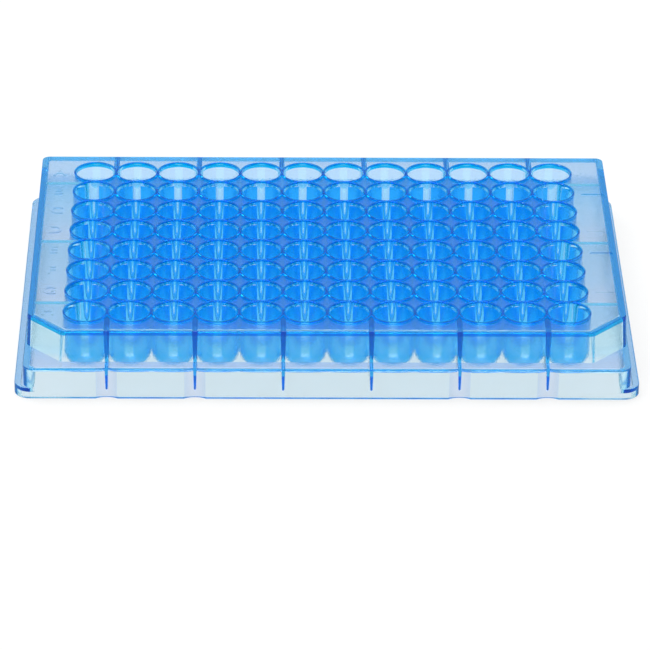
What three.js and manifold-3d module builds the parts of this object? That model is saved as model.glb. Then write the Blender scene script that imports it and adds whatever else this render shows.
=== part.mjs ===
// A 96-well round-bottom plate, injection moulded in one piece of clear blue polystyrene.
// Millimetres, +Z up, +X along the columns (1 at -X, 12 at +X), +Y towards the rear (row A).
// The origin is the middle of the footprint, on the surface that the plate stands on.

import * as THREE from "three";
import { mergeVertices } from "three/addons/utils/BufferGeometryUtils.js";
import Module from "manifold-3d";

const wasm = await Module();
wasm.setup();

// Footprint and heights
const footprintLength = 127.76;
const footprintWidth = 85.48;
const plateHeight = 14.35;
const rimHeight = 0.4; // how far the well rims stand above the deck
const flangeHeight = 2.41; // the low foot that runs all the way round
const panelHeight = 6.85; // the tall panels of the two long sides
const wall = 1.25;
const deckThickness = 0.75;
const edgeBreak = 0.3; // bevel along the outer edges, and along the inner edge of the deck

// Outline
const flangeCornerRadius = 3.2;
const panelCornerRadius = 2.2;
const deckCornerRadius = 1.5;
const endWallInset = 1.88; // from the footprint's end to the foot of the end wall
const endWallDraft = 0.7; // how far the end wall leans in over its height
const sideWallInset = 3.14; // from the footprint's side to the foot of the upper side wall
const sideWallDraft = 0.15;
const cornerChamfer = 7.2; // leg of the two cut corners at the front

// Wells
const columns = 12;
const rows = 8;
const pitch = 9;
const webBetweenMouths = 0.5;
const mouthTaper = 0.35; // radius lost between the mouth and the round bottom
const wellDepth = 12;
const wellFloor = 0.5; // thickness under a well's lowest point
const wallLap = 0.085; // how far a well's wall reaches past the middle of the web
const rimWidth = 0.42;
const wellSegments = 8;

// Ribs that tie the well block to the skirt
const ribThickness = 1.2;
const ribTipThickness = 0.45;
const ribClearance = 1.6; // from the standing surface to the rib's lower edge
const longSideRibs = [1, 3, 5, 7, 9, 11]; // after these columns
const endRibs = [1, 4, 7]; // after these rows

// Finger scoops in the tall panels, and label recesses in the right deck margin
const scoopWidth = 4.85;
const scoopDepth = 0.5;
const scoopRunout = 1.4;
const scoopColumns = [1, 3, 9, 11];
const labelDepth = 0.2;
const labelSetback = 0.8;
const labelGap = 1.6;
const labelSpacing = 0.5; // by how much a label recess is shorter than two pitches

// Worked out from the sizes above
const halfLength = footprintLength / 2;
const halfWidth = footprintWidth / 2;
const deckTop = plateHeight - rimHeight;
const deckUnderside = deckTop - deckThickness;
const endWallFoot = halfLength - endWallInset;
const sideWallFoot = halfWidth - sideWallInset;
const mouthRadius = (pitch - webBetweenMouths) / 2;
const bottomRadius = mouthRadius - mouthTaper;
const wellOuterRadius = pitch / 2 + wallLap;
const arrayHalfLength = (columns * pitch) / 2;
const arrayHalfWidth = (rows * pitch) / 2;
const facetAngle = (2 * Math.PI) / wellSegments;
const flatsOnCircle = 1 / Math.cos(facetAngle / 2);
const equalArea = Math.sqrt(facetAngle / Math.sin(facetAngle));
const beyond = 1; // how far a cutter passes the face it opens
const flatness = 0.001; // edges inside a face this flat are merged away

function solid(geometry) {
  const bare = geometry.clone();
  bare.deleteAttribute("normal");
  bare.deleteAttribute("uv");
  const merged = mergeVertices(bare, 1e-4);
  return new wasm.Manifold(
    new wasm.Mesh({
      numProp: 3,
      vertProperties: new Float32Array(merged.attributes.position.array),
      triVerts: new Uint32Array(merged.index.array),
    }),
  );
}

function join(solids) {
  return solids.reduce((whole, piece) => whole.add(piece));
}

// Rectangle with a radius at each corner.
function roundedPlan(halfX, halfY, radius) {
  const plan = new THREE.Shape();
  plan.absarc(halfX - radius, halfY - radius, radius, 0, Math.PI / 2);
  plan.absarc(radius - halfX, halfY - radius, radius, Math.PI / 2, Math.PI);
  plan.absarc(radius - halfX, radius - halfY, radius, Math.PI, 1.5 * Math.PI);
  plan.absarc(halfX - radius, radius - halfY, radius, 1.5 * Math.PI, 2 * Math.PI);
  return plan;
}

// Rectangle with rounded rear corners and cut front corners.
function deckPlan(halfX, halfY, radius, chamfer) {
  const plan = new THREE.Shape();
  plan.absarc(halfX - radius, halfY - radius, radius, 0, Math.PI / 2);
  plan.absarc(radius - halfX, halfY - radius, radius, Math.PI / 2, Math.PI);
  plan.lineTo(-halfX, chamfer - halfY);
  plan.lineTo(chamfer - halfX, -halfY);
  plan.lineTo(halfX - chamfer, -halfY);
  plan.lineTo(halfX, chamfer - halfY);
  return plan;
}

// A plan raised from one level to another, with bevelled ends.
function bevelledPrism(plan, low, high, bevel) {
  const geometry = new THREE.ExtrudeGeometry(plan, {
    depth: high - low - 2 * bevel,
    bevelEnabled: bevel > 0,
    bevelSegments: 1,
    bevelThickness: bevel,
    bevelSize: bevel,
    bevelOffset: -bevel,
    curveSegments: 2,
  });
  return geometry.translate(0, 0, bevel);
}

// The same with its top drawn in by the drafts.
function prism(plan, low, high, bevel = 0, halfX = 1, halfY = 1, draftX = 0, draftY = 0) {
  const geometry = bevelledPrism(plan, low, high, bevel);
  const position = geometry.attributes.position;
  for (let i = 0; i < position.count; i++) {
    const rise = position.getZ(i) / (high - low);
    position.setX(i, position.getX(i) * (1 - (rise * draftX) / halfX));
    position.setY(i, position.getY(i) * (1 - (rise * draftY) / halfY));
  }
  geometry.translate(0, 0, low);
  return solid(geometry);
}

// The outside of the plate: foot, tall side panels and the drafted upper body.
function outerSkin() {
  const footPlan = roundedPlan(halfLength, halfWidth, flangeCornerRadius);
  const foot = prism(footPlan, 0, flangeHeight, edgeBreak);
  const panelPlan = roundedPlan(endWallFoot, halfWidth, panelCornerRadius);
  const panels = prism(panelPlan, 0, panelHeight, edgeBreak);
  const upper = prism(
    deckPlan(endWallFoot, sideWallFoot, deckCornerRadius, cornerChamfer),
    0,
    deckTop,
    edgeBreak,
    endWallFoot,
    sideWallFoot,
    endWallDraft,
    sideWallDraft,
  );
  return join([foot, panels, upper]);
}

// The open underside, one wall's thickness inside each face of the skin.
function innerHollow() {
  const chamferShift = wall * (2 - Math.SQRT2);
  const foot = prism(
    roundedPlan(halfLength - wall, halfWidth - wall, flangeCornerRadius - wall),
    -beyond,
    flangeHeight - wall,
  );
  const panels = prism(
    roundedPlan(endWallFoot - wall, halfWidth - wall, panelCornerRadius - wall / 2),
    -beyond,
    panelHeight - wall,
  );
  const upper = prism(
    deckPlan(
      endWallFoot - wall,
      sideWallFoot - wall,
      deckCornerRadius / 2,
      cornerChamfer - chamferShift,
    ),
    -beyond,
    deckUnderside,
    edgeBreak,
    endWallFoot,
    sideWallFoot,
    endWallDraft,
    sideWallDraft,
  );
  return join([foot, panels, upper]);
}

// A revolved body on the Z axis, with flats that face the neighbouring wells. The fit is the
// ratio of the polygon's radius to the true circle's.
function turned(profile, fit) {
  const points = profile.map(([radius, z]) => new THREE.Vector2(radius * fit, z));
  const geometry = new THREE.LatheGeometry(points, wellSegments, facetAngle / 2);
  geometry.rotateX(Math.PI / 2);
  return solid(geometry);
}

// Quarter-round from the axis up to a radius, as [radius, z] pairs.
function roundBottom(radius, lowest) {
  return [0, Math.PI / 4, Math.PI / 2].map((turn) => [
    radius * Math.sin(turn),
    lowest + radius * (1 - Math.cos(turn)),
  ]);
}

// The outer walls lap, so that neighbouring wells share a web all the way down.
function wellOutside() {
  const seat = (deckTop + deckUnderside) / 2;
  const profile = [
    ...roundBottom(wellOuterRadius, plateHeight - wellDepth - wellFloor),
    [wellOuterRadius, seat],
    [mouthRadius + rimWidth, seat],
    [mouthRadius + rimWidth, plateHeight],
    [0, plateHeight],
  ];
  return turned(profile, flatsOnCircle);
}

function wellInside() {
  const profile = [
    ...roundBottom(bottomRadius, plateHeight - wellDepth),
    [mouthRadius, plateHeight],
    [mouthRadius, plateHeight + beyond],
    [0, plateHeight + beyond],
  ];
  return turned(profile, equalArea);
}

// The same body at every well, joined into one block.
function atEveryWell(body) {
  const line = [];
  for (let column = 0; column < columns; column++) {
    line.push(body.translate([(column + 0.5) * pitch - arrayHalfLength, 0, 0]));
  }
  const row = join(line);
  const block = [];
  for (let index = 0; index < rows; index++) {
    block.push(row.translate([0, arrayHalfWidth - (index + 0.5) * pitch, 0]));
  }
  return join(block);
}

// A drafted rib that runs out along +Y from the middle of the outer wells to the skirt.
function rib(from, to) {
  const section = new THREE.Shape();
  section.moveTo(-ribTipThickness / 2, ribClearance);
  section.lineTo(ribTipThickness / 2, ribClearance);
  section.lineTo(ribThickness / 2, deckUnderside + deckThickness / 2);
  section.lineTo(-ribThickness / 2, deckUnderside + deckThickness / 2);
  const geometry = new THREE.ExtrudeGeometry(section, { depth: to - from, bevelEnabled: false });
  geometry.rotateX(Math.PI / 2);
  geometry.translate(0, to, 0);
  return solid(geometry);
}

// Every rib, trimmed to the inside of the skin.
function ribs(skin) {
  const across = rib(arrayHalfWidth - pitch / 2, halfWidth - wall / 2);
  const along = rib(arrayHalfLength - pitch / 2, endWallFoot - wall / 2);
  const placed = [];
  for (const column of longSideRibs) {
    const x = column * pitch - arrayHalfLength;
    placed.push(across.translate([x, 0, 0]), across.rotate([0, 0, 180]).translate([x, 0, 0]));
  }
  for (const row of endRibs) {
    const y = arrayHalfWidth - row * pitch;
    placed.push(
      along.rotate([0, 0, 90]).translate([0, y, 0]),
      along.rotate([0, 0, -90]).translate([0, y, 0]),
    );
  }
  return join(placed).intersect(skin);
}

// A shallow scoop in a tall panel: steep towards the middle of the plate, run out to nothing
// towards its end.
function scoop(x) {
  const side = Math.sign(x);
  const inner = x - (side * scoopWidth) / 2;
  const outer = x + (side * scoopWidth) / 2;
  const plan = new THREE.Shape();
  plan.moveTo(inner, -halfWidth - beyond);
  plan.lineTo(inner, scoopDepth - halfWidth);
  plan.lineTo(outer - side * scoopRunout, scoopDepth - halfWidth);
  plan.lineTo(outer, -halfWidth);
  plan.lineTo(outer, -halfWidth - beyond);
  return prism(plan, -beyond, panelHeight + beyond);
}

function scoops() {
  const front = join(scoopColumns.map((column) => scoop(column * pitch - arrayHalfLength)));
  return front.add(front.rotate([0, 0, 180]));
}

// Two shallow label recesses beside the last column.
function labelRecesses() {
  const deckHalfLength = endWallFoot - endWallDraft;
  const length = deckHalfLength - labelSetback - (arrayHalfLength + labelGap);
  const width = 2 * pitch - labelSpacing;
  const geometry = new THREE.BoxGeometry(length, width, 2 * labelDepth);
  geometry.translate(arrayHalfLength + labelGap + length / 2, 1.5 * pitch, deckTop);
  const rear = solid(geometry);
  return rear.add(rear.translate([0, -3 * pitch, 0]));
}

function wellPlate() {
  const skin = outerSkin();
  return skin
    .subtract(innerHollow())
    .add(ribs(skin))
    .subtract(scoops())
    .subtract(labelRecesses())
    .add(atEveryWell(wellOutside()))
    .subtract(atEveryWell(wellInside()))
    .asOriginal()
    .simplify(flatness);
}

function namedMesh(name, body, material) {
  const { numProp, vertProperties, triVerts } = body.getMesh();
  const geometry = new THREE.BufferGeometry();
  geometry.setAttribute("position", new THREE.BufferAttribute(vertProperties, numProp));
  geometry.setIndex(new THREE.BufferAttribute(triVerts, 1));
  geometry.computeVertexNormals();
  const mesh = new THREE.Mesh(geometry, material);
  mesh.name = name;
  return mesh;
}

const clearBlue = new THREE.MeshStandardMaterial({
  color: 0x2e9bea,
  roughness: 0.12,
  metalness: 0,
  transparent: true,
  opacity: 0.6,
});

const plate = new THREE.Group();
plate.add(namedMesh("well_plate", wellPlate(), clearBlue));

export default plate;
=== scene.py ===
"""A clear blue 96-well round-bottom plate, moulded in one piece, on a white table.

Every length is in metres. +X runs along the columns, +Y towards the rear row, +Z up.
"""

import math

import bmesh
import bpy
from bpy.props import (
    FloatProperty,
    FloatVectorProperty,
    IntProperty,
    PointerProperty,
    StringProperty,
)
from mathutils import Matrix, Vector


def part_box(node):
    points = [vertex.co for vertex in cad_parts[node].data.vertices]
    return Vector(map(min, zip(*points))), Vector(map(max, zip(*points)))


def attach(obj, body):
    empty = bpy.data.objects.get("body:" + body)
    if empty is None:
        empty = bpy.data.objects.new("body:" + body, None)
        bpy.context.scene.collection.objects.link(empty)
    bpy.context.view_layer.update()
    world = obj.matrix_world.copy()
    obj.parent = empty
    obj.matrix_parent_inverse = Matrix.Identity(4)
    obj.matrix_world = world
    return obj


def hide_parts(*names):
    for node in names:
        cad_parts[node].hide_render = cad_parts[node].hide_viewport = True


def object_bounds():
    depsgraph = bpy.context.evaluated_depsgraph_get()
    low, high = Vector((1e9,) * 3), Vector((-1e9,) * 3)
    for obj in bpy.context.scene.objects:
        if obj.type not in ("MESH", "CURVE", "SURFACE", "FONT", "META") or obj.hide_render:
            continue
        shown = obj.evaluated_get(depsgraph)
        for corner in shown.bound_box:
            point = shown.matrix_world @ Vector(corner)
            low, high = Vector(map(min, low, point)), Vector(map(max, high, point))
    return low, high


bl_info = {
    "name": "Well Plate",
    "version": (1, 0, 0),
    "blender": (4, 5, 0),
    "location": "3D View > Sidebar > Well Plate",
    "description": "Moulds a clear 96-well round-bottom plate and sets it on a table",
    "category": "Object",
}

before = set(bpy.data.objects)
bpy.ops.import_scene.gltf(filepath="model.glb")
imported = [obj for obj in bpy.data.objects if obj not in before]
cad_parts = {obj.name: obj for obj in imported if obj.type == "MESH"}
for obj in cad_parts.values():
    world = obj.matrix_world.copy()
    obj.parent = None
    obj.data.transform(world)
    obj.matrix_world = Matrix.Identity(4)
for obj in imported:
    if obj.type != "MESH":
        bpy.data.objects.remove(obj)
CAD_LOW, CAD_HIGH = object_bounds()
NODE = "well_plate"
PLATE_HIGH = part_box(NODE)[1]

MM = 0.001
ARC_STEPS = 4  # facets in a rounded edge
CORNER_STEPS = 8  # facets in a rounded corner of an outline
DOME_STEPS = 6  # rings in a well's round bottom
STROKE_STEPS = 3  # facets in a curved stroke of a letter
BEYOND = 1 * MM  # how far a cutter passes the face it opens
TOUCH = 0.01 * MM  # heights nearer than this count as the same
WELD = 0.001 * MM  # points of a letter's outline nearer than this are one
SMALLEST_ROUND = 0.1 * MM  # radius left on a corner that an inset takes away
SMOOTH_ANGLE = math.radians(30)
STRAIGHT = 0.005  # upright share of a normal below which a wall doesn't lean
LEVEL = 0.9  # upright share of a normal above which a face counts as level
UPWARD = 0.5  # upright share of a normal above which a face looks up
OUTWARD = 1 * MM  # reach along its normal past which a face of the skirt looks out
INWARD = 0.1 * MM  # reach along its normal past which a face looks into its well
CAPITAL_SHARE = 0.7  # height of a capital as a share of the size of its type
TABLE_GAP = 0.02 * MM  # keeps the table's face clear of the plate's


def length(name, description, millimetres):
    return FloatProperty(
        name=name,
        description=description,
        default=millimetres * MM,
        min=0,
        precision=5,
        subtype="DISTANCE",
        unit="LENGTH",
    )


def angle(name, description, degrees):
    return FloatProperty(
        name=name,
        description=description,
        default=math.radians(degrees),
        subtype="ANGLE",
        unit="ROTATION",
    )


def count(name, description, value):
    return IntProperty(name=name, description=description, default=value, min=1)


def amount(name, description, value, low=0, high=1):
    return FloatProperty(name=name, description=description, default=value, min=low, max=high)


def colour(name, description, value):
    return FloatVectorProperty(
        name=name, description=description, default=value, size=3, min=0, max=1, subtype="COLOR"
    )


class SkirtSizes(bpy.types.PropertyGroup):
    """Sizes of the skirt and deck"""

    wall: length("Wall", "Thickness of the skirt's walls", 1.25)
    deck: length("Deck", "Thickness of the deck", 0.75)
    rim: length("Rim height", "How far the well rims stand above the deck", 0.4)
    foot: length("Foot height", "Height of the low foot that runs all the way round", 2.41)
    panel: length("Panel height", "Height of the tall panels of the long sides", 6.85)
    foot_corner: length("Foot corner", "Corner radius of the foot", 3.2)
    panel_corner: length("Panel corner", "Corner radius of the tall panels", 2.2)
    deck_corner: length("Deck corner", "Radius of the deck's rear corners", 1.5)
    end_inset: length("End inset", "From the foot's end to the bottom of the end wall", 1.88)
    end_draft: length("End draft", "How far the end wall leans in over its height", 0.7)
    side_inset: length("Side inset", "From the foot's side to the upper side wall", 3.14)
    side_draft: length("Side draft", "How far the side wall leans in over its height", 0.15)
    chamfer: length("Cut corner", "Leg of the two cut corners at the front", 7.2)
    edge: length("Edge radius", "Radius of the outer edges", 0.12)
    ledge: length("Ledge", "Thickness of the ledge on a tall panel", 0.75)
    fillet: length("Fillet", "Radius inside, between the walls and the deck", 0.3)


class WellSizes(bpy.types.PropertyGroup):
    """Sizes of the wells"""

    columns: count("Columns", "Wells along X", 12)
    rows: count("Rows", "Wells along Y", 8)
    pitch: length("Pitch", "Distance between neighbouring wells", 9)
    web: length("Web", "Material between two neighbouring mouths", 0.5)
    taper: length("Taper", "Radius lost between the mouth and the round bottom", 0.35)
    depth: length("Depth", "From the rim to the lowest point inside", 12)
    floor: length("Well floor", "Thickness under a well's lowest point", 0.5)
    lap: length("Wall lap", "How far a well's wall reaches past the middle of the web", 0.085)
    rim_width: length("Rim width", "Width of the raised rim round a mouth", 0.42)
    rim_edge: length("Rim edge", "Radius of the rim's edges", 0.1)
    segments: count("Segments", "Facets round a well", 48)


class RibSizes(bpy.types.PropertyGroup):
    """Sizes of the ribs that tie the wells to the skirt"""

    thickness: length("Rib thickness", "Thickness of a rib under the deck", 1.2)
    tip: length("Rib tip", "Thickness of a rib at its lower edge", 0.45)
    clearance: length("Rib clearance", "From the table to a rib's lower edge", 1.6)
    side_count: count("Side ribs", "Ribs on each long side", 6)
    side_step: count("Side rib step", "Wells from one side rib to the next", 2)
    end_count: count("End ribs", "Ribs on each end", 3)
    end_step: count("End rib step", "Wells from one end rib to the next", 3)


class MarkSizes(bpy.types.PropertyGroup):
    """Sizes of the scoops, label recesses and row letters"""

    scoop_width: length("Scoop width", "Width of a scoop in a tall panel", 4.85)
    scoop_depth: length("Scoop depth", "Depth of a scoop", 0.75)
    label_depth: length("Label depth", "Depth of a label recess", 0.2)
    label_corner: length("Label corner", "Corner radius of a label recess", 0.5)
    label_setback: length("Label setback", "From a label recess to the deck's end", 0.8)
    label_gap: length("Label gap", "From the well block to a label recess", 1.6)
    label_spacing: length("Label spacing", "How far a label recess is short of two pitches", 0.5)
    letter_size: length("Letter size", "Height of a row letter", 3)
    letter_rise: length("Letter rise", "How far a row letter stands up", 0.12)
    letter_gap: length("Letter gap", "From the well block to the middle of a letter", 3.2)
    row_names: StringProperty(
        name="Row names", description="One letter for each row, from the rear", default="ABCDEFGH"
    )


class PlasticLook(bpy.types.PropertyGroup):
    """Look of the clear plastic"""

    # The tints give each part of the one clear plastic its own colour; some of them hold painted
    # shade and light
    skirt_tint: colour("Skirt tint", "Colour that the skirt's two faces pass", (1.0, 0.95, 0.96))
    # Painted shade: the deck's tint stands in for the plate's blue shadow on the table under it,
    # which the white table leaves out
    deck_shade_tint: colour("Deck tint", "Colour that the deck's two faces pass", (0.72, 0.76, 0.97))
    well_tint: colour("Well tint", "Colour that two faces inside a well pass", (0.8, 0.9, 1.0))
    # Partly the plastic's blue through the block's many walls and partly painted shade for the
    # deep blue shadow under the block
    tube_blue_and_shade: colour("Tube tint", "Colour that two faces of the tubes pass", (0.08, 0.56, 1.0))
    # Painted shade: a deep blue on the rims and the rounded outer edges that draws their dark
    # outlines
    rim_edge_shade: colour("Rim tint", "Colour that two faces of the rims pass", (0.0, 0.3, 0.82))
    rib_tint: colour("Rib tint", "Colour that two faces of a rib pass", (0.9, 0.97, 1.0))
    # Painted light: a faint blue-green that every face gives off, as if lit, though the plastic is
    # no lamp
    painted_glow: colour("Glow", "Light that the dye sends back at each surface", (0.0, 0.015, 0.012))
    deep: colour("Deep colour", "Colour of a thick section", (0.0, 0.72, 0.95))
    density: amount("Density", "Absorption for each metre of plastic", 170, high=1000)
    ior: amount("IOR", "Refractive index", 1.56, low=1, high=3)
    gloss: amount("Roughness", "Roughness of the polished surface", 0.02)
    haze: amount("Haze", "Extra roughness in the duller patches", 0.05)
    ripple: length("Ripple", "Height of the flow ripples in the surface", 0.004)
    satin: length("Satin", "Height of the fine grain of the satin underside", 0.02)
    grain: amount("Grain", "Grains in each metre", 6000, high=20000)
    cloud: amount("Flow marks", "Broad flow marks in each metre", 60, high=20000)
    fleck: amount("Flecks", "Fine duller flecks in each metre", 900, high=20000)
    fleck_share: amount("Fleck share", "Height of the flecks against that of the ripples", 0.05)


class StudioSettings(bpy.types.PropertyGroup):
    """Camera, lamps and table"""

    azimuth: angle("Azimuth", "Turn of the camera round the plate", -1.101)
    elevation: angle("Elevation", "Height angle of the camera", 28.913)
    roll: angle("Roll", "Turn of the camera about its own axis", 0.689)
    distance: length("Distance", "From the camera to the point it aims at", 908.5)
    near: length("Near", "Closest distance that the camera sees", 10)
    lens: FloatProperty(
        name="Lens",
        description="Focal length for a 36 mm sensor",
        default=235.6,
        min=1,
        subtype="DISTANCE_CAMERA",
        unit="CAMERA",
    )
    aim_x: FloatProperty(
        name="Aim X", description="Aim point along X", default=0.18 * MM, unit="LENGTH"
    )
    aim_z: FloatProperty(
        name="Aim Z", description="Aim point above the table", default=-6.29 * MM, unit="LENGTH"
    )
    table: length("Table", "Size of the table", 6000)
    table_grain: amount("Table grain", "Grains in each metre of the table", 400, high=20000)
    table_detail: amount("Table detail", "Finer layers in the grain of the table", 2, high=15)
    table_grey: amount("Table grey", "How white the darkest grain is", 0.93)
    table_contrast: amount("Table contrast", "By how much the palest grain is whiter", 0.03)
    lamp: amount("Lamp", "Power of the overhead lamp, in watts", 22, high=1000)
    lamp_size: length("Lamp size", "Side of the square lamp", 1200)
    lamp_height: length("Lamp height", "From the table to the lamp", 1400)
    lamp_shift: length("Lamp shift", "How far the lamp is to the left and to the rear", 300)
    lamp_tilt: angle("Lamp tilt", "How far the lamp leans back towards the plate", 16.04)
    sky: amount("Sky", "Brightness of the room that lights the table", 0.55)
    shadow: amount("Shadow", "How much of the table's look comes from the light on it", 0.25)
    mirror: amount("Mirror", "Brightness of the room and table in a reflection", 0.35)
    crossings: count("Crossings", "Walls that a ray may pass, as dozens stand in the block", 64)
    reflections: count("Reflections", "Reflections that a ray may make in the plastic", 32)


# Outlines and solid bodies


def rounded_outline(corners, radii):
    """Closed anticlockwise outline through the corners, each rounded by its radius."""
    points = []
    for i, corner in enumerate(corners):
        here = Vector(corner)
        back = (Vector(corners[i - 1]) - here).normalized()
        ahead = (Vector(corners[(i + 1) % len(corners)]) - here).normalized()
        half = back.angle(ahead) / 2
        centre = here + (back + ahead).normalized() * radii[i] / math.sin(half)
        start = here + back * radii[i] / math.tan(half) - centre
        turn = math.pi - 2 * half
        for k in range(CORNER_STEPS + 1):
            swing = Matrix.Rotation(turn * k / CORNER_STEPS, 2)
            points.append(centre + swing @ start)
    return points


class Plan:
    """The outline of a body, which leans in with height and can be inset."""

    def __init__(self, half_x, half_y, radius, chamfer=0.0, lean=(0.0, 0.0), height=1.0):
        self.half_x = half_x
        self.half_y = half_y
        self.radius = radius
        self.chamfer = chamfer
        self.lean = lean
        self.height = height

    def outline(self, z, inset):
        x = self.half_x - inset - self.lean[0] * z / self.height
        y = self.half_y - inset - self.lean[1] * z / self.height
        radius = max(self.radius - inset, SMALLEST_ROUND)
        if not self.chamfer:
            return rounded_outline([(x, y), (-x, y), (-x, -y), (x, -y)], [radius] * 4)
        cut = self.chamfer - inset * (2 - math.sqrt(2))
        corners = [(x, y), (-x, y), (-x, cut - y), (cut - x, -y), (x - cut, -y), (x, cut - y)]
        return rounded_outline(corners, [radius] * 6)


def edge_levels(low, high, low_round=0.0, high_round=0.0):
    """(height, inset) pairs up a body's side, with its lower and upper edges rounded."""
    levels = []
    for k in range(ARC_STEPS + 1 if low_round else 1):
        swing = math.pi / 2 * (k / ARC_STEPS if low_round else 1)
        levels.append((low + low_round * (1 - math.cos(swing)), low_round * (1 - math.sin(swing))))
    for k in range(ARC_STEPS + 1 if high_round else 1):
        swing = math.pi / 2 * k / ARC_STEPS
        top = high - high_round * (1 - math.sin(swing))
        levels.append((top, high_round * (1 - math.cos(swing))))
    return levels


def new_object(name, data):
    piece = bpy.data.objects.new(name, data)
    bpy.context.scene.collection.objects.link(piece)
    return piece


def lofted(name, rings):
    """A closed body through rings that hold the same number of points."""
    bm = bmesh.new()
    loops = [[bm.verts.new(point) for point in ring] for ring in rings]
    bm.faces.new(reversed(loops[0]))
    bm.faces.new(loops[-1])
    for lower, upper in zip(loops, loops[1:]):
        for i in range(len(lower)):
            bm.faces.new((lower[i - 1], lower[i], upper[i], upper[i - 1]))
    bmesh.ops.recalc_face_normals(bm, faces=bm.faces)
    mesh = bpy.data.meshes.new(name)
    bm.to_mesh(mesh)
    bm.free()
    return new_object(name, mesh)


def raised(name, plan, levels):
    return lofted(name, [[(p.x, p.y, z) for p in plan.outline(z, inset)] for z, inset in levels])


def turned(name, profile, segments):
    """A body turned on the Z axis, from (radius, height) pairs that start and end on the axis."""
    bm = bmesh.new()
    rings = []
    for radius, z in profile[1:-1]:
        swings = (2 * math.pi * (k + 0.5) / segments for k in range(segments))
        points = ((radius * math.cos(a), radius * math.sin(a), z) for a in swings)
        rings.append([bm.verts.new(point) for point in points])
    first = bm.verts.new((0, 0, profile[0][1]))
    last = bm.verts.new((0, 0, profile[-1][1]))
    for i in range(segments):
        bm.faces.new((rings[0][i - 1], rings[0][i], first))
        bm.faces.new((rings[-1][i - 1], rings[-1][i], last))
        for lower, upper in zip(rings, rings[1:]):
            bm.faces.new((lower[i - 1], lower[i], upper[i], upper[i - 1]))
    bmesh.ops.recalc_face_normals(bm, faces=bm.faces)
    mesh = bpy.data.meshes.new(name)
    bm.to_mesh(mesh)
    bm.free()
    return new_object(name, mesh)


def dome(radius, lowest):
    """(radius, height) pairs from the axis up a quarter round."""
    swings = (math.pi / 2 * k / DOME_STEPS for k in range(DOME_STEPS + 1))
    return [(radius * math.sin(a), lowest + radius * (1 - math.cos(a))) for a in swings]


def made_solid(curve, height):
    """A flat curve made a closed solid that rises from z = 0."""
    flat = new_object(curve.name, curve)
    bpy.context.view_layer.update()
    evaluated = flat.evaluated_get(bpy.context.evaluated_depsgraph_get())
    mesh = bpy.data.meshes.new_from_object(evaluated)
    bpy.data.objects.remove(flat)
    bm = bmesh.new()
    bm.from_mesh(mesh)
    bmesh.ops.remove_doubles(bm, verts=bm.verts, dist=WELD)
    grown = bmesh.ops.extrude_face_region(bm, geom=bm.faces[:], use_keep_orig=True)["geom"]
    lifted = [item for item in grown if isinstance(item, bmesh.types.BMVert)]
    bmesh.ops.translate(bm, verts=lifted, vec=(0, 0, height))
    bmesh.ops.recalc_face_normals(bm, faces=bm.faces)
    bm.to_mesh(mesh)
    bm.free()
    return new_object("letter", mesh)


def made_plain(piece):
    """Fixes a piece's modifiers into its mesh."""
    bpy.context.view_layer.update()
    evaluated = piece.evaluated_get(bpy.context.evaluated_depsgraph_get())
    mesh = bpy.data.meshes.new_from_object(evaluated)
    piece.modifiers.clear()
    old = piece.data
    piece.data = mesh
    bpy.data.meshes.remove(old)
    return piece


def combine(piece, tool, operation):
    """Joins, cuts or trims a piece with a tool, and uses the tool up."""
    modifier = piece.modifiers.new(operation.lower(), "BOOLEAN")
    modifier.solver = "MANIFOLD"
    modifier.operation = operation
    modifier.object = tool
    made_plain(piece)
    bpy.data.objects.remove(tool)
    return piece


# Nodes


class Value:
    """A node's socket that can be used in sums."""

    def __init__(self, nodes, socket):
        self.nodes = nodes
        self.socket = socket

    def math(self, operation, *others):
        return self.nodes.add("ShaderNodeMath", {"operation": operation}, self, *others)

    def __add__(self, other):
        return self.math("ADD", other)

    def __mul__(self, other):
        return self.math("MULTIPLY", other)

    def __sub__(self, other):
        return self.math("SUBTRACT", other)

    def __rsub__(self, other):
        return self.nodes.add("ShaderNodeMath", {"operation": "SUBTRACT"}, other, self)

    __radd__ = __add__
    __rmul__ = __mul__


class Nodes:
    """Adds nodes to a shader or geometry tree."""

    def __init__(self, tree):
        self.tree = tree
        tree.nodes.clear()

    def add(self, kind, settings=None, *values, out=0, **named):
        """One node: its settings first, then the values or links of its sockets."""
        node = self.tree.nodes.new(kind)
        for key, value in (settings or {}).items():
            setattr(node, key, value)
        pairs = list(zip(node.inputs, values))
        pairs += [(node.inputs[key.replace("_", " ")], named[key]) for key in named]
        for socket, value in pairs:
            if isinstance(value, Value):
                self.tree.links.new(value.socket, socket)
            else:
                socket.default_value = value
        return Value(self, node.outputs[out]) if node.outputs else node

    def noise(self, place, scale, detail=0.0):
        return self.add("ShaderNodeTexNoise", None, Vector=place, Scale=scale, Detail=detail)


# Geometry nodes: one body repeated on a grid


GRID_INPUTS = {
    "Body": "Object",
    "Columns": "Int",
    "Rows": "Int",
    "Length": "Float",
    "Width": "Float",
    "Material": "Material",
}


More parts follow.
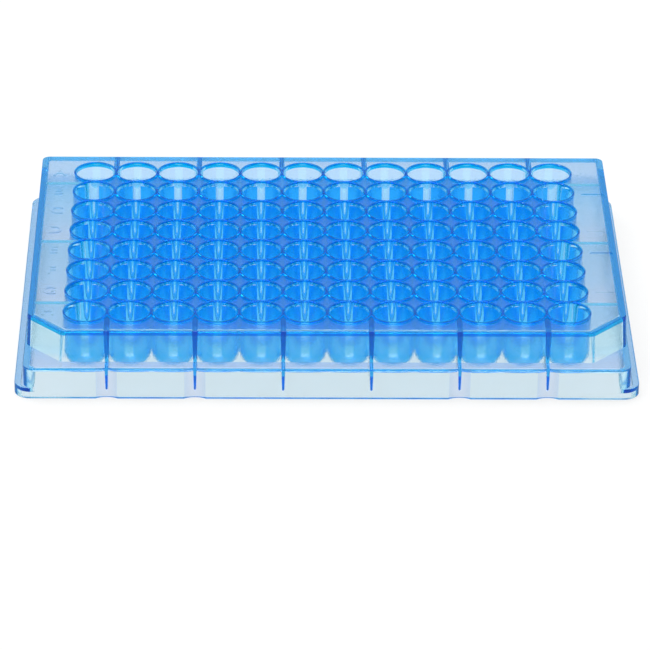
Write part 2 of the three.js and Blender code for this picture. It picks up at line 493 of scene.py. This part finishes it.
def grid_tree():
    """Repeats a body on a grid about the origin and joins the copies that touch."""
    tree = bpy.data.node_groups.new("repeat_on_grid", "GeometryNodeTree")
    nodes = Nodes(tree)
    tree.interface.new_socket("Geometry", in_out="INPUT", socket_type="NodeSocketGeometry")
    for name, kind in GRID_INPUTS.items():
        tree.interface.new_socket(name, in_out="INPUT", socket_type="NodeSocket" + kind)
    tree.interface.new_socket("Geometry", in_out="OUTPUT", socket_type="NodeSocketGeometry")
    start = tree.nodes.new("NodeGroupInput").outputs
    given = {name: Value(nodes, start[name]) for name in GRID_INPUTS}
    grid = nodes.add(
        "GeometryNodeMeshGrid",
        None,
        Size_X=given["Length"],
        Size_Y=given["Width"],
        Vertices_X=given["Columns"],
        Vertices_Y=given["Rows"],
    )
    body = nodes.add("GeometryNodeObjectInfo", None, Object=given["Body"], out="Geometry")
    copies = nodes.add("GeometryNodeInstanceOnPoints", None, Points=grid, Instance=body)
    how = {"operation": "UNION", "solver": "MANIFOLD"}
    joined = nodes.add("GeometryNodeMeshBoolean", how, Mesh_2=copies)
    real = nodes.add("GeometryNodeRealizeInstances", None, joined)
    coated = nodes.add("GeometryNodeSetMaterial", None, real, Material=given["Material"])
    nodes.add("NodeGroupOutput", None, coated)
    return tree


def repeated(body, columns, rows, spacing_x, spacing_y, material):
    """Copies of a body on a grid about the origin, as one plain mesh. The body is used up."""
    tree = bpy.data.node_groups.get("repeat_on_grid") or grid_tree()
    piece = new_object(body.name + "_all", bpy.data.meshes.new(body.name + "_all"))
    modifier = piece.modifiers.new("grid", "NODES")
    modifier.node_group = tree
    values = {
        "Body": body,
        "Columns": columns,
        "Rows": rows,
        "Length": spacing_x * (columns - 1),
        "Width": spacing_y * (rows - 1),
        "Material": material,
    }
    for item in tree.interface.items_tree:
        if item.item_type == "SOCKET" and item.in_out == "INPUT" and item.name in values:
            modifier[item.identifier] = values[item.name]
    made_plain(piece)
    bpy.data.objects.remove(body)
    return piece


# Materials


def clear_plastic(look):
    """Clear blue polystyrene: its colour lies partly in its depth and partly in each face's tint,
    which holds painted shade, with a painted glow and faint flow marks on its skin.
    """
    material = bpy.data.materials.new("clear_blue_plastic")
    material.use_nodes = True
    material.cycles.emission_sampling = "NONE"
    nodes = Nodes(material.node_tree)
    place = nodes.add("ShaderNodeTexCoord", None, out="Object")
    polish = nodes.add("ShaderNodeAttribute", {"attribute_name": "polish"}, out="Fac")
    cloud = nodes.noise(place, look.cloud)
    fleck = nodes.noise(place, look.fleck)
    grain = nodes.noise(place, look.grain)
    # Each face's tint feeds the base colour; it holds painted shade and light as well as the
    # plastic's blue
    skin = nodes.add("ShaderNodeAttribute", {"attribute_name": "tint"}, out="Color")
    flow = (cloud + fleck * look.fleck_share) * look.ripple
    height = flow + grain * (1 - polish) * look.satin
    relief = nodes.add(
        "ShaderNodeBump", None, Strength=1.0, Distance=1.0, Height=height, out="Normal"
    )
    surface = nodes.add(
        "ShaderNodeBsdfPrincipled",
        None,
        Base_Color=skin,
        Roughness=fleck * look.haze + look.gloss,
        IOR=look.ior,
        Transmission_Weight=1.0,
        # Painted light: every face glows faintly with the painted glow colour
        Emission_Color=(*look.painted_glow, 1.0),
        Emission_Strength=1.0,
        Normal=relief,
    )
    depth = nodes.add(
        "ShaderNodeVolumeAbsorption", None, Color=(*look.deep, 1.0), Density=look.density
    )
    nodes.add("ShaderNodeOutputMaterial", None, Surface=surface, Volume=depth)
    return material


def sight(nodes):
    """Two values: 1 for rays seen directly or through the plastic, and 1 for pure reflections."""
    camera, through, glossy = (
        nodes.add("ShaderNodeLightPath", None, out=kind)
        for kind in ("Is Camera Ray", "Is Transmission Ray", "Is Glossy Ray")
    )
    return camera.math("MAXIMUM", through), glossy * (1 - through)


def table_material(studio):
    """A white table that reads white wherever it is seen, and still takes a soft shadow."""
    material = bpy.data.materials.new("white_table")
    material.use_nodes = True
    material.cycles.emission_sampling = "NONE"
    nodes = Nodes(material.node_tree)
    place = nodes.add("ShaderNodeTexCoord", None, out="Object")
    grain = nodes.noise(place, studio.table_grain, studio.table_detail)
    paper = grain * studio.table_contrast + studio.table_grey
    lit = nodes.add("ShaderNodeBsdfDiffuse", None, Color=paper)
    white = nodes.add("ShaderNodeEmission", None, Strength=1.0)
    seen, reflected = sight(nodes)
    direct = nodes.add("ShaderNodeMixShader", None, seen * (1 - studio.shadow), lit, white)
    mirrored = nodes.add("ShaderNodeEmission", None, Strength=studio.mirror)
    both = nodes.add("ShaderNodeMixShader", None, reflected, direct, mirrored)
    nodes.add("ShaderNodeOutputMaterial", None, Surface=both)
    return material


# Operators


class WELLPLATE_OT_mould(bpy.types.Operator):
    """Mould the plate: skirt, deck, ribs, wells and marks as one clear body"""

    bl_idname = "wellplate.mould"
    bl_label = "Mould the Plate"

    def execute(self, context):
        scene = context.scene
        skirt, wells = scene.skirt_sizes, scene.well_sizes
        plastic = clear_plastic(scene.plastic_look)
        skin = self.skin(skirt)
        trim = new_object("rib_trim", skin.data.copy())
        plate = combine(skin, self.hollow(skirt), "DIFFERENCE")
        ribs = combine(self.ribs(scene, plastic), trim, "INTERSECT")
        combine(plate, ribs, "UNION")
        combine(plate, self.scoops(scene, plastic), "DIFFERENCE")
        combine(plate, self.labels(scene, plastic), "DIFFERENCE")
        combine(plate, self.letters(scene), "UNION")
        for shape, operation in ((self.well_outside, "UNION"), (self.well_inside, "DIFFERENCE")):
            pitches = wells.pitch, wells.pitch
            block = repeated(shape(scene), wells.columns, wells.rows, *pitches, plastic)
            combine(plate, block, operation)
        self.finish(plate, plastic)
        return {"FINISHED"}

    def levels(self, skirt):
        """Deck top, deck underside and the feet of the end and side walls."""
        deck_top = PLATE_HIGH.z - skirt.rim
        end = PLATE_HIGH.x - skirt.end_inset
        side = PLATE_HIGH.y - skirt.side_inset
        return deck_top, deck_top - skirt.deck, end, side

    def skin(self, skirt):
        """The outside of the skirt and deck, solid."""
        deck_top, underside, end, side = self.levels(skirt)
        lean = (skirt.end_draft, skirt.side_draft)
        foot = Plan(PLATE_HIGH.x, PLATE_HIGH.y, skirt.foot_corner)
        panels = Plan(end, PLATE_HIGH.y, skirt.panel_corner)
        upper = Plan(end, side, skirt.deck_corner, skirt.chamfer, lean, deck_top)
        skin = raised("skin", foot, edge_levels(0, skirt.foot, skirt.edge, skirt.edge))
        start = skirt.foot / 2
        sides = edge_levels(start, deck_top, 0, skirt.edge)
        sides.insert(1, (underside - skirt.fillet, 0.0))
        panel_levels = edge_levels(start, skirt.panel, 0, skirt.edge)
        for plan, levels in ((panels, panel_levels), (upper, sides)):
            combine(skin, raised("body", plan, levels), "UNION")
        return skin

    def hollow(self, skirt):
        """The open underside, one wall inside the skin."""
        deck_top, underside, end, side = self.levels(skirt)
        wall = skirt.wall
        lean = (skirt.end_draft, skirt.side_draft)
        foot = Plan(PLATE_HIGH.x - wall, PLATE_HIGH.y - wall, skirt.foot_corner - wall)
        panels = Plan(end - wall, PLATE_HIGH.y - wall, skirt.panel_corner - wall / 2)
        cut = skirt.chamfer - wall * (2 - math.sqrt(2))
        upper = Plan(end - wall, side - wall, skirt.deck_corner / 2, cut, lean, deck_top)
        hollow = raised("hollow", foot, edge_levels(-BEYOND, skirt.foot - wall))
        for plan, top in ((panels, skirt.panel - skirt.ledge), (upper, underside)):
            body = raised("body", plan, edge_levels(-BEYOND, top, 0, skirt.fillet))
            combine(hollow, body, "UNION")
        return hollow

    def rib(self, scene, start, end):
        """A rib along +Y, thinner at its rounded lower edge."""
        sizes, skirt = scene.rib_sizes, scene.skirt_sizes
        top = self.levels(skirt)[1] + skirt.deck / 2
        tip = sizes.tip / 2
        swings = (math.pi * (1 + k / (2 * ARC_STEPS)) for k in range(2 * ARC_STEPS + 1))
        section = [(tip * math.cos(a), sizes.clearance + tip * (1 + math.sin(a))) for a in swings]
        section += [(sizes.thickness / 2, top), (-sizes.thickness / 2, top)]
        return lofted("rib", [[(x, y, z) for x, z in section] for y in (start, end)])

    def ribs(self, scene, plastic):
        """The ribs of the long sides and the ends, not yet trimmed."""
        wells, skirt, sizes = scene.well_sizes, scene.skirt_sizes, scene.rib_sizes
        _, _, end, _ = self.levels(skirt)
        block_x = wells.columns * wells.pitch / 2
        block_y = wells.rows * wells.pitch / 2
        ribs = None
        for quarter in range(4):
            if quarter % 2:
                rib = self.rib(scene, block_x - wells.pitch / 2, end - skirt.wall / 2)
                number, step = sizes.end_count, sizes.end_step * wells.pitch
            else:
                rib = self.rib(scene, block_y - wells.pitch / 2, PLATE_HIGH.y - skirt.wall / 2)
                number, step = sizes.side_count, sizes.side_step * wells.pitch
            row = repeated(rib, number, 1, step, 0, plastic)
            row.data.transform(Matrix.Rotation(quarter * math.pi / 2, 4, "Z"))
            ribs = row if ribs is None else combine(ribs, row, "UNION")
        return ribs

    def scoops(self, scene, plastic):
        """Shallow round scoops in the tall panels, one at each of the outer two side ribs."""
        marks, skirt, ribs = scene.mark_sizes, scene.skirt_sizes, scene.rib_sizes
        step = ribs.side_step * scene.well_sizes.pitch
        half = marks.scoop_width / 2
        radius = (half ** 2 + marks.scoop_depth ** 2) / (2 * marks.scoop_depth)
        spread = math.asin(half / radius)
        middle = marks.scoop_depth - radius - PLATE_HIGH.y
        outside = middle + radius * math.cos(spread) - BEYOND
        plan = [(-half, outside)]
        for k in range(2 * CORNER_STEPS + 1):
            swing = spread * (k / CORNER_STEPS - 1)
            plan.append((radius * math.sin(swing), middle + radius * math.cos(swing)))
        plan.append((half, outside))
        levels = (-BEYOND, skirt.panel + BEYOND)
        cutters = None
        for side in (-1, 1):
            for turn in (0, math.pi):
                cutter = lofted("scoop", [[(x, y, z) for x, y in plan] for z in levels])
                pair = repeated(cutter, 2, 1, step, 0, plastic)
                place = (side * (ribs.side_count - 2) * step / 2, 0, 0)
                pair.data.transform(Matrix.Translation(place))
                pair.data.transform(Matrix.Rotation(turn, 4, "Z"))
                cutters = pair if cutters is None else combine(cutters, pair, "UNION")
        return cutters

    def labels(self, scene, plastic):
        """Two shallow label recesses beside the last column, between the end ribs."""
        marks, wells, skirt = scene.mark_sizes, scene.well_sizes, scene.skirt_sizes
        deck_top, _, end, _ = self.levels(skirt)
        low = wells.columns * wells.pitch / 2 + marks.label_gap
        high = end - skirt.end_draft - marks.label_setback
        half = wells.pitch - marks.label_spacing / 2
        plan = Plan((high - low) / 2, half, marks.label_corner)
        cutter = raised("label", plan, edge_levels(-marks.label_depth, marks.label_depth))
        pair = repeated(cutter, 1, 2, 0, scene.rib_sizes.end_step * wells.pitch, plastic)
        pair.data.transform(Matrix.Translation(((low + high) / 2, 0, deck_top)))
        return pair

    def letters(self, scene):
        """Raised row letters beside the first column."""
        marks, wells, skirt = scene.mark_sizes, scene.well_sizes, scene.skirt_sizes
        deck_top = self.levels(skirt)[0]
        x = -wells.columns * wells.pitch / 2 - marks.letter_gap
        whole = None
        for row, name in enumerate(marks.row_names):
            y = (wells.rows - 1 - 2 * row) * wells.pitch / 2
            curve = bpy.data.curves.new("letter", "FONT")
            curve.body = name
            curve.size = marks.letter_size / CAPITAL_SHARE
            curve.align_x = "CENTER"
            curve.align_y = "CENTER"
            curve.resolution_u = STROKE_STEPS
            letter = made_solid(curve, 2 * marks.letter_rise)
            letter.data.transform(Matrix.Translation((x, y, deck_top - marks.letter_rise)))
            whole = letter if whole is None else combine(whole, letter, "UNION")
        return whole

    def well_outside(self, scene):
        """The tube and the raised rim of one well, solid."""
        wells, skirt = scene.well_sizes, scene.skirt_sizes
        deck_top, underside, _, _ = self.levels(skirt)
        outer = wells.pitch / 2 + wells.lap
        seat = (deck_top + underside) / 2
        rim = (wells.pitch - wells.web) / 2 + wells.rim_width
        top = PLATE_HIGH.z
        profile = dome(outer, top - wells.depth - wells.floor)
        profile += [(outer, seat), (rim, seat)]
        profile += [(rim, top - wells.rim_edge), (rim - wells.rim_edge, top), (0, top)]
        return turned("well_outside", profile, wells.segments)

    def well_inside(self, scene):
        """The opening of one well, with a ring at the deck's height that parts rim and wall."""
        wells = scene.well_sizes
        mouth = (wells.pitch - wells.web) / 2
        bottom = mouth - wells.taper
        top = PLATE_HIGH.z
        neck = self.levels(scene.skirt_sizes)[0]
        profile = dome(bottom, top - wells.depth)
        low, high = profile[-1][1], top - wells.rim_edge
        share = (neck - low) / (high - low)
        profile += [(bottom + wells.taper * share, neck)]
        profile += [(mouth, high), (mouth + wells.rim_edge, top)]
        profile += [(mouth + wells.rim_edge, top + BEYOND), (0, top + BEYOND)]
        return turned("well_inside", profile, wells.segments)

    def block_face(self, scene, centre, normal):
        """Polish and tint of a face in the block of wells."""
        wells, look = scene.well_sizes, scene.plastic_look
        deck_top = self.levels(scene.skirt_sizes)[0]
        half = wells.pitch / 2
        x = (centre.x + wells.columns * half) % wells.pitch - half
        y = (centre.y + wells.rows * half) % wells.pitch - half
        inward = x * normal.x + y * normal.y < -INWARD
        in_mouth = math.hypot(x, y) < half - wells.web / 2 + wells.rim_edge
        polished = (inward and in_mouth) or normal.z > UPWARD
        # Painted shade: the rims take the deep blue that draws the dark rings round each mouth
        if centre.z > deck_top + TOUCH:
            return polished, look.rim_edge_shade
        # Painted light: the rear row's outer tube faces take the paler deck tint, as light from
        # behind the plate falls on them
        rear_tube = centre.y > (wells.rows - 1) * half and not inward
        if rear_tube or abs(normal.z) > LEVEL:
            return polished, look.deck_shade_tint
        # The tube faces take the block's deep blue, partly painted shade
        return polished, look.well_tint if inward else look.tube_blue_and_shade

    def skirt_face(self, scene, centre, normal):
        """Polish and tint of a face of the skirt, its ribs or the deck's border."""
        wells, skirt, look = scene.well_sizes, scene.skirt_sizes, scene.plastic_look
        underside = self.levels(skirt)[1]
        level = abs(normal.z) > LEVEL
        outward = centre.x * normal.x + centre.y * normal.y > OUTWARD
        polished = outward or normal.z > UPWARD
        deck_edge = centre.z > underside - skirt.fillet
        ledge_edge = skirt.panel - skirt.edge < centre.z < skirt.panel
        # Painted shade: the rounded edges of the deck and the ledges take the deep blue that draws
        # their dark lines
        if outward and STRAIGHT < normal.z < LEVEL and (deck_edge or ledge_edge):
            return polished, look.rim_edge_shade
        depth = PLATE_HIGH.y - abs(centre.y)
        scoop = outward and skirt.edge < depth < skirt.wall and skirt.foot < centre.z < skirt.panel
        # Painted shade: level faces and the scoops' recesses take the deck's shaded tint
        if level or scoop:
            return polished, look.deck_shade_tint
        side_rib = abs(centre.x) < wells.columns * wells.pitch / 2 and abs(normal.x) > LEVEL
        end_rib = abs(centre.y) < wells.rows * wells.pitch / 2 and abs(normal.y) > LEVEL
        rib = (side_rib or end_rib) and centre.z < underside
        return polished, look.rib_tint if rib else look.skirt_tint

    def mark_faces(self, scene, mesh):
        """Gives each face its tint, which holds painted shade and light, and 1 for polish or 0 for
        satin.
        """
        wells = scene.well_sizes
        half_x = wells.columns * wells.pitch / 2 + wells.lap
        half_y = wells.rows * wells.pitch / 2 + wells.lap
        polish = mesh.attributes.new("polish", "FLOAT", "FACE")
        tint = mesh.attributes.new("tint", "FLOAT_COLOR", "FACE")
        for face, shine, shade in zip(mesh.polygons, polish.data, tint.data):
            in_block = abs(face.center.x) < half_x and abs(face.center.y) < half_y
            looks = self.block_face if in_block else self.skirt_face
            shine.value, tinted = looks(scene, face.center, face.normal)
            shade.color = (*tinted, 1.0)

    def finish(self, plate, plastic):
        """Smooths the rounds, keeps the flats flat, and hands the plate to the frame."""
        plate.name = "clear_well_plate"
        plate.data.name = plate.name
        plate.data.materials.clear()
        plate.data.materials.append(plastic)
        self.mark_faces(bpy.context.scene, plate.data)
        plate.data.shade_smooth()
        plate.data.set_sharp_from_angle(angle=SMOOTH_ANGLE)
        flatten = plate.modifiers.new("flats", "WEIGHTED_NORMAL")
        flatten.keep_sharp = True
        made_plain(plate)
        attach(plate, "root")
        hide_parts(NODE)


class WELLPLATE_OT_set_stage(bpy.types.Operator):
    """Set the table, the room light, the lamp and the camera"""

    bl_idname = "wellplate.set_stage"
    bl_label = "Set the Stage"

    def execute(self, context):
        studio = context.scene.studio_settings
        self.table(studio)
        self.room(context.scene, studio)
        self.lamp(studio)
        self.camera(context.scene, studio)
        self.light_paths(context.scene, studio)
        return {"FINISHED"}

    def table(self, studio):
        half = studio.table / 2
        mesh = bpy.data.meshes.new("table")
        corners = [(-half, -half, 0), (half, -half, 0), (half, half, 0), (-half, half, 0)]
        mesh.from_pydata(corners, [], [(0, 1, 2, 3)])
        mesh.transform(Matrix.Translation((0, 0, CAD_LOW.z - TABLE_GAP)))
        mesh.materials.append(table_material(studio))
        new_object("table", mesh)

    def room(self, scene, studio):
        """Pale wherever it is seen, and a plain soft light on the table."""
        scene.world = bpy.data.worlds.new("room")
        scene.world.use_nodes = True
        scene.world.cycles.sampling_method = "NONE"
        nodes = Nodes(scene.world.node_tree)
        seen, reflected = sight(nodes)
        strength = seen * (1 - studio.sky) + reflected * (studio.mirror - studio.sky) + studio.sky
        light = nodes.add("ShaderNodeBackground", None, Strength=strength)
        nodes.add("ShaderNodeOutputWorld", None, Surface=light)

    def lamp(self, studio):
        light = bpy.data.lights.new("overhead", "AREA")
        light.shape = "SQUARE"
        light.size = studio.lamp_size
        light.energy = studio.lamp
        place = (-studio.lamp_shift, studio.lamp_shift, studio.lamp_height)
        tilt = Matrix.Rotation(studio.lamp_tilt, 4, "X")
        new_object("overhead", light).matrix_world = Matrix.Translation(place) @ tilt

    def camera(self, scene, studio):
        level = Vector((math.sin(studio.azimuth), -math.cos(studio.azimuth), 0))
        back = level * math.cos(studio.elevation) + Vector((0, 0, math.sin(studio.elevation)))
        right = Vector((math.cos(studio.azimuth), math.sin(studio.azimuth), 0))
        up = back.cross(right)
        turn = Matrix((right, up, back)).transposed().to_4x4()
        place = Vector((studio.aim_x, 0, studio.aim_z)) + back * studio.distance
        lens = bpy.data.cameras.new("camera")
        lens.lens = studio.lens
        lens.clip_start = studio.near
        camera = new_object("camera", lens)
        roll = Matrix.Rotation(studio.roll, 4, "Z")
        camera.matrix_world = Matrix.Translation(place) @ turn @ roll
        scene.camera = camera

    def light_paths(self, scene, studio):
        """Long light paths, because a ray through the block crosses dozens of walls."""
        scene.view_settings.view_transform = "Standard"
        scene.cycles.max_bounces = studio.crossings
        scene.cycles.glossy_bounces = studio.reflections
        scene.cycles.transmission_bounces = studio.crossings


class WELLPLATE_PT_panel(bpy.types.Panel):
    """Lists the plate's steps and sizes"""

    bl_idname = "WELLPLATE_PT_panel"
    bl_label = "Well Plate"
    bl_space_type = "VIEW_3D"
    bl_region_type = "UI"
    bl_category = "Well Plate"

    def draw(self, context):
        layout = self.layout
        for operator in OPERATORS:
            layout.operator(operator.bl_idname)
        for name, group in GROUPS.items():
            box = layout.box()
            box.label(text=group.__doc__)
            for key in group.__annotations__:
                box.prop(getattr(context.scene, name), key)


GROUPS = {
    "skirt_sizes": SkirtSizes,
    "well_sizes": WellSizes,
    "rib_sizes": RibSizes,
    "mark_sizes": MarkSizes,
    "plastic_look": PlasticLook,
    "studio_settings": StudioSettings,
}
OPERATORS = (WELLPLATE_OT_mould, WELLPLATE_OT_set_stage)


def register():
    for name, group in GROUPS.items():
        bpy.utils.register_class(group)
        setattr(bpy.types.Scene, name, PointerProperty(type=group))
    for operator in OPERATORS:
        bpy.utils.register_class(operator)
    bpy.utils.register_class(WELLPLATE_PT_panel)


def unregister():
    bpy.utils.unregister_class(WELLPLATE_PT_panel)
    for operator in OPERATORS:
        bpy.utils.unregister_class(operator)
    for name, group in GROUPS.items():
        delattr(bpy.types.Scene, name)
        bpy.utils.unregister_class(group)


def main():
    register()
    bpy.ops.wellplate.mould()
    bpy.ops.wellplate.set_stage()


if __name__ == "__main__":
    main()
